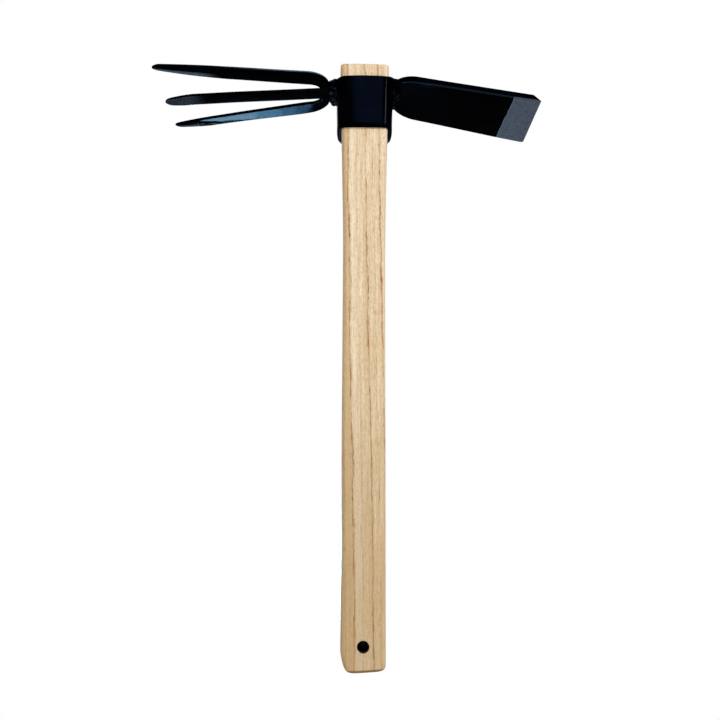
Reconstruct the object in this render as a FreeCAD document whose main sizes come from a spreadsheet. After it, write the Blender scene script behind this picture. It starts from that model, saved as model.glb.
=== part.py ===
import FreeCAD, Part
import math
import os
import Sketcher

# Double hoe: a flared ash handle in a tapered steel eye, with a hoe blade welded to one side of the eye
# and three forged tines to the other. Millimetres and degrees. Z runs up along the handle, the blade
# points along +X and the fork along -X. The origin is the centre of the hang hole near the butt.

SIZES = {
    # handle
    "handle_length": 400.0,
    "hang_hole_height": 15.6,        # butt to the centre of the hole
    "hang_hole_diameter": 7.5,
    "shaft_width": 28.3,
    "shaft_depth": 25.0,
    "handle_round": 3.0,             # rounded long edges
    "head_width": 33.85,             # at the very top
    "head_depth": 28.5,
    "flare_length": 119.0,           # top end down to where the flare starts
    "head_end_round": 2.0,
    "butt_slant": 3.6,               # degrees
    "butt_ease_radius": 31.0,        # long sweep of the worn corner
    "butt_ease_turn": 22.0,          # degrees
    "butt_corner_radius": 5.5,
    "butt_heel_radius": 4.0,         # the other corner
    "butt_face_round": 3.0,          # front and back edges of the butt
    # eye
    "head_stand_out": 10.4,          # handle left above the eye
    "eye_length": 36.7,
    "eye_wall": 3.0,
    "eye_fit": 0.1,                  # between wood and steel
    "eye_rim_chamfer": 0.8,
    "eye_foot_chamfer": 1.6,
    # hoe blade
    "blade_thickness": 4.0,
    "blade_length": 98.5,
    "blade_root_width": 53.0,
    "blade_tip_width": 61.4,
    "blade_shoulder_radius": 16.0,
    "blade_drop": 5.7,               # eye top to the middle of the blade root
    "blade_droop": 10.7,             # degrees
    "bevel_length": 19.2,            # ground bevel on the underside
    "bevel_rise": 1.1,
    "back_bevel_length": 5.6,        # short bevel on top
    "edge_land": 0.3,
    # fork
    "tine_thickness": 2.8,
    "outer_tine_width": 10.6,
    "middle_tine_width": 9.2,
    "fork_length": 119.2,
    "fork_drop": 4.0,
    "fork_droop": 3.2,               # degrees
    "fork_splay": 10.9,              # degrees, each outer tine
    "fork_spread": 41.0,             # middle line of an outer tine at its tip
    "fork_neck": 4.6,                # eye to the back of the bent roots
    "crotch_distance": 10.4,         # eye to the closed ends of the two gaps
    "crotch_width": 8.4,             # gap between outer and middle tine at its closed end
    "crotch_round": 4.0,
    "root_bend_radius": 15.5,
    "point_end_width": 3.4,
    "point_end_thickness": 1.3,
    "point_end_bulge": 1.1,
    "front_point_length": 46.0,      # the points were ground by hand, each its own length
    "middle_point_length": 20.0,
    "rear_point_length": 26.0,
    "front_point_lean": 2.6,         # and each a little to one side: outwards,
    "middle_point_lean": 2.0,        # to the rear,
    "rear_point_lean": -1.8,         # inwards
    "tine_edge_round": 0.8,
    # welds
    "weld_radius": 4.3,
    "weld_pitch": 2.2,
    "weld_offset": 1.9,              # eye to the middle line of a bead
    "upper_weld_radius": 3.3,
    "cut_overrun": 5.0,
}

# Size of each ripple along a bead, as a share of the bead's radius
BLADE_WELD_SHARES = (0.7, 0.89, 0.98, 0.92, 1.05, 0.95, 1.03, 0.9, 1.06, 0.96, 1.0, 0.87, 0.72)
FORK_WELD_SHARES = (0.72, 0.9, 1.0, 0.93, 1.05, 0.96, 1.02, 0.94, 0.88, 0.7)

# Derived sizes and places, all worked out from the sheet
BUTT = "(-Sizes.hang_hole_height)"
HANDLE_TOP = "(Sizes.handle_length - Sizes.hang_hole_height)"
FLARE_START = "(Sizes.handle_length - Sizes.hang_hole_height - Sizes.flare_length)"
EYE_TOP = "(Sizes.handle_length - Sizes.hang_hole_height - Sizes.head_stand_out)"
EYE_BOTTOM = "(Sizes.handle_length - Sizes.hang_hole_height - Sizes.head_stand_out - Sizes.eye_length)"
WIDTH_FLARE = "((Sizes.head_width - Sizes.shaft_width) / Sizes.flare_length)"
DEPTH_FLARE = "((Sizes.head_depth - Sizes.shaft_depth) / Sizes.flare_length)"
BLADE_ROOT_Z = "(" + EYE_TOP + " - Sizes.blade_drop)"
FORK_ROOT_Z = "(" + EYE_TOP + " - Sizes.fork_drop)"
EYE_SIDE_ANGLE = "atan(" + WIDTH_FLARE + " / 2)"
POINT_END = "(Sizes.fork_length - Sizes.point_end_bulge)"
POINT_END_RADIUS = "((Sizes.point_end_width ^ 2 / 4 + Sizes.point_end_bulge ^ 2) / 2 / Sizes.point_end_bulge)"

# Closer than this, two coordinates are taken as the same
NEAR = 1e-5

doc = FreeCAD.newDocument("DoubleHoe")
sheet = doc.addObject("Spreadsheet::Sheet", "Sizes")


def fill_sheet():
    """One row for each driving size: its name beside its value."""
    for row, (name, value) in enumerate(SIZES.items(), start=1):
        sheet.set("A%d" % row, name)
        sheet.set("B%d" % row, str(value))
        sheet.setAlias("B%d" % row, name)
    doc.recompute()


def number(expression):
    """The present value of an expression on the sheet's sizes."""
    result = sheet.evalExpression(expression)
    return float(getattr(result, "Value", result))


def flared(size, flare, height):
    """A width or depth of the handle, at a height on its flare."""
    return "(%s + %s * (%s - %s))" % (size, flare, height, FLARE_START)


def flare_width(height):
    return flared("Sizes.shaft_width", WIDTH_FLARE, height)


def flare_depth(height):
    return flared("Sizes.shaft_depth", DEPTH_FLARE, height)


def eye_side(height):
    """Distance from the middle plane to the eye's outer side, at a height."""
    return "(%s / 2 + Sizes.eye_fit + Sizes.eye_wall)" % flare_width(height)


def new_body(name):
    body = doc.addObject("PartDesign::Body", name)
    body.Label = name
    return body


def new_sketch(body, name, role):
    """A sketch on one of the body's own origin planes."""
    sketch = body.newObject("Sketcher::SketchObject", name)
    plane = [f for f in body.Origin.OriginFeatures if f.Role == role][0]
    sketch.AttachmentSupport = [(plane, "")]
    sketch.MapMode = "FlatFace"
    return sketch


def hold(sketch, kind, geometry, end, expression):
    """Holds one end of a curve at a bound distance from the sketch's origin."""
    value = number(expression)
    index = sketch.addConstraint(Sketcher.Constraint(kind, -1, 1, geometry, end, value))
    sketch.setExpression("Constraints[%d]" % index, expression)


def set_radius(sketch, geometry, expression):
    index = sketch.addConstraint(Sketcher.Constraint("Radius", geometry, number(expression)))
    sketch.setExpression("Constraints[%d]" % index, expression)


def add_arc(sketch, start, end, radius, left):
    """The short arc from start to end, its centre left or right of the way there. Gives the curve's number
    and which of its ends comes first: arcs always run anticlockwise."""
    chord = end - start
    reach = math.sqrt(max(radius * radius - chord.Length ** 2 / 4, 0.0))
    across = FreeCAD.Vector(-chord.y, chord.x, 0).normalize()
    centre = (start + end) * 0.5 + across * (reach if left else -reach)
    first, last = (start, end) if left else (end, start)
    turn = math.atan2(first.y - centre.y, first.x - centre.x)
    sweep = (math.atan2(last.y - centre.y, last.x - centre.x) - turn) % (2 * math.pi)
    circle = Part.Circle(centre, FreeCAD.Vector(0, 0, 1), radius)
    index = sketch.addGeometry(Part.ArcOfCircle(circle, turn, turn + sweep), False)
    return index, (1, 2) if left else (2, 1)


def outline(sketch, steps):
    """A closed outline. Each step is (x, y) for a line to that corner, or (x, y, radius, left) for an arc
    to it whose centre lies left or right of the way there."""
    corners = [FreeCAD.Vector(number(step[0]), number(step[1]), 0) for step in steps]
    count = len(steps)
    curves = []
    for place, step in enumerate(steps):
        start, end = corners[place - 1], corners[place]
        if len(step) == 2:
            curves.append((sketch.addGeometry(Part.LineSegment(start, end), False), (1, 2)))
        else:
            curves.append(add_arc(sketch, start, end, number(step[2]), step[3]))
    for place in range(count):
        curve, ends = curves[place]
        following, next_ends = curves[(place + 1) % count]
        sketch.addConstraint(Sketcher.Constraint("Coincident", curve, ends[1], following, next_ends[0]))
    for (curve, ends), step in zip(curves, steps):
        if len(step) > 2:
            set_radius(sketch, curve, step[2])
        hold(sketch, "DistanceX", curve, ends[1], step[0])
        hold(sketch, "DistanceY", curve, ends[1], step[1])


def pad(body, name, sketch, length):
    """Thickens a sketch, half the length to each side."""
    feature = body.newObject("PartDesign::Pad", name)
    feature.Profile = sketch
    feature.Midplane = True
    feature.setExpression("Length", length)
    doc.recompute()


def pocket(body, name, sketch):
    """A cut both ways through the whole body; it has to take material away."""
    before = body.Shape.Volume
    feature = body.newObject("PartDesign::Pocket", name)
    feature.Profile = sketch
    feature.Midplane = True
    feature.Type = "ThroughAll"
    doc.recompute()
    if not body.Shape.Volume < before:
        raise RuntimeError("the cut %s takes nothing away" % name)


def dress_edges(body, name, chosen, size, chamfer=False):
    """Rounds or chamfers the edges of the body's last shape whose boxes the test picks."""
    tip = body.Tip
    names = ["Edge%d" % (i + 1) for i, edge in enumerate(tip.Shape.Edges) if chosen(edge.BoundBox)]
    feature = body.newObject("PartDesign::Chamfer" if chamfer else "PartDesign::Fillet", name)
    feature.Base = (tip, names)
    feature.setExpression("Size" if chamfer else "Radius", size)
    doc.recompute()


def flare_section(height, offset):
    """Width and depth of a shape that lies one offset outside the handle's flare, at a height."""
    return tuple("(%s + 2 * %s)" % (size, offset) for size in (flare_width(height), flare_depth(height)))


def block(body, name, low, high, low_section, high_section, edge_round):
    """A block between two heights that tapers from one width and depth to another; its long edges are
    rounded if a radius is given."""
    wedge = body.newObject("PartDesign::AdditiveWedge", name)
    wedge.Placement = FreeCAD.Placement(FreeCAD.Vector(), FreeCAD.Rotation(FreeCAD.Vector(1, 0, 0), 90))
    wedge.setExpression("Ymin", low)
    wedge.setExpression("Ymax", high)
    for end, section in (("", low_section), ("2", high_section)):
        for axis, size in zip("XZ", section):
            wedge.setExpression(axis + end + "min", "-%s / 2" % size)
            wedge.setExpression(axis + end + "max", "%s / 2" % size)
    doc.recompute()
    if edge_round:
        dress_edges(body, name + "_long_edges",
                    lambda box: box.ZMax - box.ZMin > max(box.XMax - box.XMin, box.YMax - box.YMin),
                    edge_round)


def make_handle():
    """Straight shaft that flares where it jams in the eye, with rounded long edges and eased ends."""
    body = new_body("handle")
    shaft, head = ("Sizes.shaft_width", "Sizes.shaft_depth"), ("Sizes.head_width", "Sizes.head_depth")
    block(body, "handle_shaft", BUTT, FLARE_START, shaft, shaft, None)
    block(body, "handle_flare", FLARE_START, HANDLE_TOP, shaft, head, "Sizes.handle_round")
    shape_butt(body)
    shape_head_end(body)
    hole = new_sketch(body, "hang_hole_circle", "XZ_Plane")
    radius = number("Sizes.hang_hole_diameter / 2")
    hole.addGeometry(Part.Circle(FreeCAD.Vector(), FreeCAD.Vector(0, 0, 1), radius))
    hole.addConstraint(Sketcher.Constraint("Coincident", 0, 3, -1, 1))
    set_radius(hole, 0, "Sizes.hang_hole_diameter / 2")
    pocket(body, "hang_hole", hole)
    return body


def shape_butt(body):
    """Saws the butt on a slight slant: one corner worn round in a long sweep, the other tighter."""
    side = "(Sizes.shaft_width / 2)"
    away = "(Sizes.shaft_width / 2 + Sizes.cut_overrun)"
    below = "(%s - Sizes.cut_overrun)" % BUTT
    turn, slant = "Sizes.butt_ease_turn", "Sizes.butt_slant"
    ease, corner, heel = "Sizes.butt_ease_radius", "Sizes.butt_corner_radius", "Sizes.butt_heel_radius"
    bend_z = "(%s + %s * (cos(%s) - sin(%s)))" % (BUTT, corner, slant, turn)
    bend_x = "(%s * (1 - cos(%s)) - %s)" % (ease, turn, side)
    start_z = "(%s + %s * sin(%s))" % (bend_z, ease, turn)
    low_x = "(%s + %s * (cos(%s) - sin(%s)))" % (bend_x, corner, turn, slant)
    heel_x = "(%s - %s * (1 - sin(%s)))" % (side, heel, slant)
    heel_z = "(%s + (%s - %s) * tan(%s))" % (BUTT, heel_x, low_x, slant)
    heel_top = "(%s + %s * cos(%s))" % (heel_z, heel, slant)
    waste = new_sketch(body, "butt_outline_waste", "XZ_Plane")
    outline(waste, [("-" + away, start_z), ("-" + side, start_z), (bend_x, bend_z, ease, True),
                    (low_x, BUTT, corner, True), (heel_x, heel_z), (side, heel_top, heel, True),
                    (away, heel_top), (away, below), ("-" + away, below)])
    pocket(body, "butt_outline", waste)
    end_rounding(body, "butt_faces", BUTT, "-1", "Sizes.shaft_depth", "Sizes.butt_face_round", "YZ_Plane")


def shape_head_end(body):
    end_rounding(body, "head_end_sides", HANDLE_TOP, "1", "Sizes.head_width", "Sizes.head_end_round", "XZ_Plane")
    end_rounding(body, "head_end_faces", HANDLE_TOP, "1", "Sizes.head_depth", "Sizes.head_end_round", "YZ_Plane")


def end_rounding(body, name, end, way, across, radius, role):
    """Rounds the two edges of an end that face one direction; way is 1 at the top and -1 at the butt."""
    side = "(%s / 2)" % across
    inner = "(%s / 2 - %s)" % (across, radius)
    away = "(%s / 2 + Sizes.cut_overrun)" % across
    level = "(%s - %s * %s)" % (end, way, radius)
    beyond = "(%s + %s * Sizes.cut_overrun)" % (end, way)
    waste = new_sketch(body, name + "_waste", role)
    for sign in ("", "-"):
        left = (way == "1") == (sign == "")
        outline(waste, [(sign + inner, end), (sign + side, level, radius, not left), (sign + away, level),
                        (sign + away, beyond), (sign + inner, beyond)])
    pocket(body, name, waste)


def make_eye_collar():
    """Tapered eye: its bore follows the handle's flare and its outside keeps one wall thickness."""
    body = new_body("eye_collar")
    bottom, top = number(EYE_BOTTOM), number(EYE_TOP)
    wall = "(Sizes.eye_fit + Sizes.eye_wall)"
    block(body, "eye_outside", EYE_BOTTOM, EYE_TOP, flare_section(EYE_BOTTOM, wall),
          flare_section(EYE_TOP, wall), "Sizes.handle_round + " + wall)
    dress_edges(body, "eye_top_rim", lambda box: abs(box.ZMin - top) < NEAR, "Sizes.eye_rim_chamfer", True)
    dress_edges(body, "eye_foot_rim", lambda box: abs(box.ZMax - bottom) < NEAR, "Sizes.eye_foot_chamfer", True)
    core = new_body("eye_core")
    low, high = "(%s - Sizes.cut_overrun)" % EYE_BOTTOM, "(%s + Sizes.cut_overrun)" % EYE_TOP
    block(core, "eye_core_block", low, high, flare_section(low, "Sizes.eye_fit"),
          flare_section(high, "Sizes.eye_fit"), "Sizes.handle_round + Sizes.eye_fit")
    bore = body.newObject("PartDesign::Boolean", "eye_bore")
    bore.Type = "Cut"
    bore.setObjects([core])
    doc.recompute()
    return body


def place_on_eye(feature, root_z, droop, way):
    """Sets a piece at the eye's side, at its root height; way is 1 for the blade and -1 for the fork."""
    feature.Placement = FreeCAD.Placement(FreeCAD.Vector(), FreeCAD.Rotation(FreeCAD.Vector(0, way, 0), 1))
    feature.setExpression("Placement.Base.x", "%d * %s" % (way, eye_side(root_z)))
    feature.setExpression("Placement.Base.z", root_z)
    feature.setExpression("Placement.Rotation.Angle", droop)


def make_hoe_blade():
    """Plate with tapered sides, its root cut to the eye's side, its edge ground on both faces, and round
    shoulders at its root."""
    body = new_body("hoe_blade")
    half, tip = "(Sizes.blade_thickness / 2)", "Sizes.blade_length"
    lean = "(%s * tan(Sizes.blade_droop * 1 deg - %s))" % (half, EYE_SIDE_ANGLE)
    edge = "(Sizes.bevel_rise - %s)" % half
    beyond, away = "(%s + Sizes.cut_overrun)" % tip, "(%s + Sizes.cut_overrun)" % half
    root_half, tip_half = "(Sizes.blade_root_width / 2)", "(Sizes.blade_tip_width / 2)"
    plan = new_sketch(body, "blade_plan", "XY_Plane")
    outline(plan, [("-" + lean, root_half), (tip, tip_half), (tip, "-" + tip_half),
                   ("-" + lean, "-" + root_half)])
    pad(body, "blade_plate", plan, "Sizes.blade_thickness")
    waste = new_sketch(body, "blade_side_waste", "XZ_Plane")
    outline(waste, [("-" + lean, half), (lean, "-" + half), (lean, "-" + away),
                    ("(-%s - Sizes.cut_overrun)" % lean, "-" + away), ("(-%s - Sizes.cut_overrun)" % lean, half)])
    outline(waste, [("(%s - Sizes.bevel_length)" % tip, "-" + half), (tip, edge), (beyond, edge),
                    (beyond, "-" + away), ("(%s - Sizes.bevel_length)" % tip, "-" + away)])
    outline(waste, [("(%s - Sizes.back_bevel_length)" % tip, half), (tip, edge + " + Sizes.edge_land"),
                    (beyond, edge + " + Sizes.edge_land"), (beyond, away),
                    ("(%s - Sizes.back_bevel_length)" % tip, away)])
    pocket(body, "blade_side", waste)
    reach = number(lean) + NEAR
    dress_edges(body, "blade_shoulders", lambda box: box.XMax < reach and box.YMin * box.YMax > 0,
                "Sizes.blade_shoulder_radius")
    place_on_eye(body, BLADE_ROOT_Z, "Sizes.blade_droop", 1)
    return body


def finish_tine(body, name, shoulder, tip):
    """Rounds the long edges as rolled and thins the tine from its shoulder to its tip on both faces."""
    dress_edges(body, name + "_edges",
                lambda box: box.ZMax - box.ZMin < NEAR and box.YMax - box.YMin < box.XMax - box.XMin,
                "Sizes.tine_edge_round")
    half, end_half = "(Sizes.tine_thickness / 2)", "(Sizes.point_end_thickness / 2)"
    away = "(Sizes.tine_thickness / 2 + Sizes.cut_overrun)"
    beyond = "(%s + Sizes.cut_overrun)" % tip
    waste = new_sketch(body, name + "_point_waste", "XZ_Plane")
    for sign in ("", "-"):
        outline(waste, [("-" + shoulder, sign + half), ("-" + tip, sign + end_half),
                        ("-" + beyond, sign + end_half), ("-" + beyond, sign + away),
                        ("-" + shoulder, sign + away)])
    pocket(body, name + "_point", waste)
    place_on_eye(body, FORK_ROOT_Z, "Sizes.fork_droop", -1)


def make_middle_tine():
    """Straight flat bar from the eye's side to a spear point."""
    body = new_body("tine_middle")
    half = "(Sizes.middle_tine_width / 2)"
    end_half = "(Sizes.point_end_width / 2)"
    tip, shoulder = "Sizes.fork_length", "(Sizes.fork_length - Sizes.middle_point_length)"
    plan = new_sketch(body, "middle_tine_plan", "XY_Plane")
    outline(plan, [("0", half), ("-" + shoulder, half),
                   ("-" + POINT_END, "(Sizes.middle_point_lean + %s)" % end_half),
                   ("-" + POINT_END, "(Sizes.middle_point_lean - %s)" % end_half, POINT_END_RADIUS, True),
                   ("-" + shoulder, "-" + half), ("0", "-" + half)])
    pad(body, "middle_tine_bar", plan, "Sizes.tine_thickness")
    finish_tine(body, "middle_tine", shoulder, tip)
    return body


def make_outer_tine(name, sign, point_length, lean):
    """Flat bar with a spear point, splayed outwards, its root bent in against the middle tine."""
    body = new_body(name)
    slope = "tan(Sizes.fork_splay)"
    half = "(Sizes.outer_tine_width / 2 / cos(Sizes.fork_splay))"
    tip, shoulder = "Sizes.fork_length", "(Sizes.fork_length - %s)" % point_length
    line = "(Sizes.fork_spread - %s * (Sizes.fork_length - %%s))" % slope
    end_half = "(Sizes.point_end_width / 2)"
    seat = "(Sizes.middle_tine_width / 2)"
    neck, crotch = "Sizes.fork_neck", "Sizes.crotch_distance"
    plan = new_sketch(body, name + "_plan", "XY_Plane")
    way = "%s1 * " % sign
    outline(plan, [("-" + neck, way + seat),
                   ("-" + neck, way + "(%s + %s)" % (line % neck, half)),
                   ("-" + shoulder, way + "(%s + %s)" % (line % shoulder, half)),
                   ("-" + POINT_END, way + "(Sizes.fork_spread + %s + %s)" % (lean, end_half)),
                   ("-" + POINT_END, way + "(Sizes.fork_spread + %s - %s)" % (lean, end_half),
                    POINT_END_RADIUS, sign == "+"),
                   ("-" + shoulder, way + "(%s - %s)" % (line % shoulder, half)),
                   ("-" + crotch, way + "(%s + Sizes.crotch_width)" % seat),
                   ("-" + crotch, way + seat)])
    pad(body, name + "_bar", plan, "Sizes.tine_thickness")
    neck_x, crotch_x, seat_y = -number(neck), -number(crotch), number(seat) + NEAR

    def upright_at(box, x):
        thin = box.XMax - box.XMin < NEAR and box.YMax - box.YMin < NEAR
        return thin and abs(box.XMin - x) < NEAR and abs(box.YMin + box.YMax) / 2 > seat_y

    dress_edges(body, name + "_bend", lambda box: upright_at(box, neck_x), "Sizes.root_bend_radius")
    dress_edges(body, name + "_crotch", lambda box: upright_at(box, crotch_x), "Sizes.crotch_round")
    finish_tine(body, name, shoulder, tip)
    return body


def place_at_root(feature, root_z, droop, way, out, across, up):
    """Places a feature in the frame of the piece fixed at the eye's side: out along the piece, across it,
    and up from its middle plane."""
    feature.setExpression("Placement.Base.x", "%d * (%s + (%s) * cos(%s) + (%s) * sin(%s))"
                          % (way, eye_side(root_z), out, droop, up, droop))
    feature.setExpression("Placement.Base.y", across)
    feature.setExpression("Placement.Base.z", "%s - (%s) * sin(%s) + (%s) * cos(%s)"
                          % (root_z, out, droop, up, droop))


def make_weld(name, held, collar, root_z, droop, way, level, thickness, radius, shares):
    """A bead of ripples side by side between the eye's side and one face of the held pieces; level is 1
    above them and -1 below. It fills the corner, outside the eye and on its own side of their middle plane."""
    ripples = []
    for place, share in enumerate(shares):
        ripple = doc.addObject("Part::Cylinder", "%s_ripple_%d" % (name, place))
        ripple.Placement = FreeCAD.Placement(FreeCAD.Vector(), FreeCAD.Rotation(FreeCAD.Vector(1, 0, 0), -90))
        ripple.setExpression("Radius", "%s * %s" % (share, radius))
        ripple.setExpression("Height", "Sizes.weld_pitch")
        place_at_root(ripple, root_z, droop, way, "Sizes.weld_offset",
                      "(%s) * Sizes.weld_pitch" % (place - len(shares) / 2), "%d * %s / 2" % (level, thickness))
        ripples.append(ripple)
    bead = doc.addObject("Part::MultiFuse", name + "_bead")
    bead.Shapes = ripples
    room = doc.addObject("Part::Box", name + "_room")
    reach = "(4 * %s)" % radius
    into_wall = "(-Sizes.eye_wall / 2)"
    room.setExpression("Length", "%s - %s" % (reach, into_wall))
    room.setExpression("Width", "Sizes.blade_tip_width")
    room.setExpression("Height", reach)
    room.Placement = FreeCAD.Placement(FreeCAD.Vector(), FreeCAD.Rotation(FreeCAD.Vector(0, way, 0), 1))
    room.setExpression("Placement.Rotation.Angle", droop)
    place_at_root(room, root_z, droop, way, into_wall if way > 0 else reach, "-Sizes.blade_tip_width / 2",
                  "-" + reach if level < 0 else "0")
    weld = doc.addObject("Part::Common", name + "_corner")
    weld.Base = bead
    weld.Tool = room
    tools = [collar] + held
    for place, tool in enumerate(tools, start=1):
        cut = doc.addObject("Part::Cut", name if place == len(tools) else "%s_cut_%d" % (name, place))
        cut.Base = weld
        cut.Tool = tool
        weld = cut
    doc.recompute()
    return weld


def check(parts):
    """Stops at the first failed object or bad shape."""
    doc.recompute()
    for item in doc.Objects:
        if "Invalid" in item.State or "Error" in item.State:
            raise RuntimeError("%s failed: %s" % (item.Name, item.State))
    for part in parts:
        if part.Shape.isNull() or not part.Shape.isValid() or not part.Shape.Solids:
            raise RuntimeError("%s has no sound solid" % part.Label)


def write(parts):
    os.makedirs("parts", exist_ok=True)
    for part in parts:
        part.Shape.exportStep("parts/%s.step" % part.Label)
        box = part.Shape.BoundBox
        print("%-18s solids %d  volume %9.1f  x %7.1f %7.1f  y %6.1f %6.1f  z %7.1f %7.1f"
              % (part.Label, len(part.Shape.Solids), part.Shape.Volume,
                 box.XMin, box.XMax, box.YMin, box.YMax, box.ZMin, box.ZMax))


def main():
    fill_sheet()
    handle = make_handle()
    collar = make_eye_collar()
    blade = make_hoe_blade()
    middle = make_middle_tine()
    front = make_outer_tine("tine_front", "-", "Sizes.front_point_length", "Sizes.front_point_lean")
    rear = make_outer_tine("tine_rear", "+", "Sizes.rear_point_length", "Sizes.rear_point_lean")
    parts = [handle, collar, blade, middle, front, rear]
    tines = [middle, front, rear]
    for name, level, radius in (("lower", -1, "Sizes.weld_radius"), ("upper", 1, "Sizes.upper_weld_radius")):
        parts.append(make_weld("blade_weld_" + name, [blade], collar, BLADE_ROOT_Z, "Sizes.blade_droop", 1,
                               level, "Sizes.blade_thickness", radius, BLADE_WELD_SHARES))
        parts.append(make_weld("fork_weld_" + name, tines, collar, FORK_ROOT_Z, "Sizes.fork_droop", -1,
                               level, "Sizes.tine_thickness", radius, FORK_WELD_SHARES))
    check(parts)
    write(parts)


main()
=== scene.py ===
import math
import bmesh
import bpy
import numpy as np
from mathutils import Matrix, Vector


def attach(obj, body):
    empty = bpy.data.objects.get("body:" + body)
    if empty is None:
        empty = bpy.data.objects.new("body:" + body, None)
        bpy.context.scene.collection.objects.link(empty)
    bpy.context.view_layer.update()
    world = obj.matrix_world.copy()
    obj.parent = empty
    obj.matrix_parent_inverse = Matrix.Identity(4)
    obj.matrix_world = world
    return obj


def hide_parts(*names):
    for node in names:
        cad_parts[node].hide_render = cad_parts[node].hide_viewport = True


# Double hoe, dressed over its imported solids. Lengths are millimetres until a mesh is made.
# Z runs up along the handle from the hang hole, the blade points along +X and the fork along -X.

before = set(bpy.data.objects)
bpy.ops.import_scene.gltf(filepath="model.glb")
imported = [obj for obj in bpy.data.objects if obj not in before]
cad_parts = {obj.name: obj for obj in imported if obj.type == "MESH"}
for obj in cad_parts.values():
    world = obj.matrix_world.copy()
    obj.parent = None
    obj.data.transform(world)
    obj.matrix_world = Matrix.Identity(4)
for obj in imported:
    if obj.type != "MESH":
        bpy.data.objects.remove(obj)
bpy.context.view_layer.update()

MM = 0.001

# Handle
BUTT_Z = -15.6
TOP_Z = 384.4
SHAFT = (28.3, 25.0)
HEAD = (33.85, 28.5)
FLARE_START = 265.4
FLARE_LENGTH = 119.0
FLARE_BLEND = 20.0
HANDLE_ROUND = 3.0
HANDLE_CROWN = 0.6
TOP_ROUND = 1.0
TOP_SLOPE = 0.02
BUTT_SLANT = math.radians(3.6)
BUTT_SLANT_FROM = 7.14
BUTT_REACH = 7.2
EASE_RADIUS = 31.0
EASE_TURN = math.radians(22)
EASE_TOP = 15.04
CORNER_RADIUS = 5.5
CORNER_TOP = 3.43
CORNER_DRAWN = 2.257
HEEL_RADIUS = 4.0
FACE_ROUND = 2.0
HOLE_RADIUS = 3.75
HOLE_LIP = 0.25
BORE_DEPTHS = (9.0, 5.0, 0.4)

# Eye
EYE_TOP = 374.0
EYE_BOTTOM = 337.3
EYE_FIT = 0.1
EYE_WALL = 3.0
EYE_CROWN = 0.9
EYE_RIM = 0.9
EYE_FOOT = 1.6
EYE_SOFT = 0.35

# Blade
BLADE_ROOT_Z = 368.3
BLADE_DROOP = 10.7
BLADE_LENGTH = 98.5
BLADE_ROOT_HALF = 26.7
BLADE_GROWTH = 5.5
BLADE_SHOULDER = 16.0
BLADE_FACE = 2.1
BEVEL_START = 79.6
BEVEL_SLANT = 0.043
BEVEL_RISE = 0.35
TOP_BEVEL_START = 92.9
TOP_BEVEL_LENGTH = 5.6
TOP_BEVEL_DROP = 3.5
WORN_FROM = 96.0
WORN_RADIUS = 2.6

# Fork
FORK_ROOT_Z = 370.0
FORK_DROOP = 3.2
FORK_LENGTH = 119.2
FORK_SPREAD = 41.0
FORK_SPLAY = math.radians(10.9)
POINT_END = 114.7
POINT_BULGE = 4.45
TIP_THIN = 119.3
MIDDLE_SHOULDER = 99.2
MIDDLE_END = 115.0
MIDDLE_BULGE = 4.18
MIDDLE_LEAN = 2.1
MIDDLE_TIP_HALF = 3.4

# Welds
BEAD_PITCH = 2.3
BEAD_CORNER = 6.1
BEAD_STRAIGHT = 11.2


def flare_share(z):
    """How far the flare has opened, from 0 to 1 at the top: nothing below it, then a parabola over its
    blend, then a straight line."""
    rise = z - FLARE_START
    bend = (rise + FLARE_BLEND) ** 2 / (4 * FLARE_BLEND)
    return np.where(rise < -FLARE_BLEND, 0.0, np.where(rise < FLARE_BLEND, bend, rise)) / FLARE_LENGTH


def handle_size(z):
    """Width and depth of the handle at a height: shaft size plus the flare's share of the growth."""
    share = flare_share(z)
    return SHAFT[0] + (HEAD[0] - SHAFT[0]) * share, SHAFT[1] + (HEAD[1] - SHAFT[1]) * share


def value_noise(x, y, seed):
    """Smooth noise from -1 to 1: random numbers on a square lattice, blended by the cubic 3t2 - 2t3."""
    lattice = np.random.default_rng(seed).uniform(-1.0, 1.0, (64, 64))
    x, y = np.broadcast_arrays(x, y)
    column, row = np.floor(x).astype(int), np.floor(y).astype(int)
    across, up = x - column, y - row
    across, up = across * across * (3 - 2 * across), up * up * (3 - 2 * up)

    def at(i, j):
        return lattice[(row + j) % 64, (column + i) % 64]

    low = at(0, 0) * (1 - across) + at(1, 0) * across
    high = at(0, 1) * (1 - across) + at(1, 1) * across
    return low * (1 - up) + high * up


def smooth(low, high, value):
    """The cubic 3t2 - 2t3 of how far the value has gone from low to high."""
    share = np.clip((value - low) / (high - low), 0.0, 1.0)
    return share * share * (3 - 2 * share)


def between(low, high, value):
    """1 where the value lies between low and high, and 0 elsewhere."""
    return np.where((value > low) & (value < high), 1.0, 0.0)


def drawn_by_round(radius, share):
    """How far a round draws a side in: the radius less its cosine, at the angle whose sine is the share."""
    return radius * (1 - np.cos(np.arcsin(np.clip(share, 0.0, 1.0))))


def outline_shares(flat_steps, arc_steps, margin=0.0):
    """A rounded rectangle as three arrays: corner share in x, corner share in y and facing angle. Arcs turn
    the angle at a fixed corner; flats run from corner to corner at a fixed angle, with one step of the
    given margin at each end."""
    corners = np.array([(1, 1), (-1, 1), (-1, -1), (1, -1)], float)
    arc = np.arange(arc_steps) / arc_steps
    flat = np.arange(flat_steps) / flat_steps
    if margin:
        flat = np.concatenate([[0.0], np.linspace(margin, 1 - margin, flat_steps - 1)])
    pieces = []
    for quarter in range(4):
        here, following = corners[quarter], corners[(quarter + 1) % 4]
        turned = (quarter + arc) * np.pi / 2
        pieces.append(np.column_stack([np.repeat(here[None], arc_steps, 0), turned]))
        along = here + flat[:, None] * (following - here)
        pieces.append(np.column_stack([along, np.full(flat_steps, (quarter + 1) * np.pi / 2)]))
    return np.concatenate(pieces).T


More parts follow.
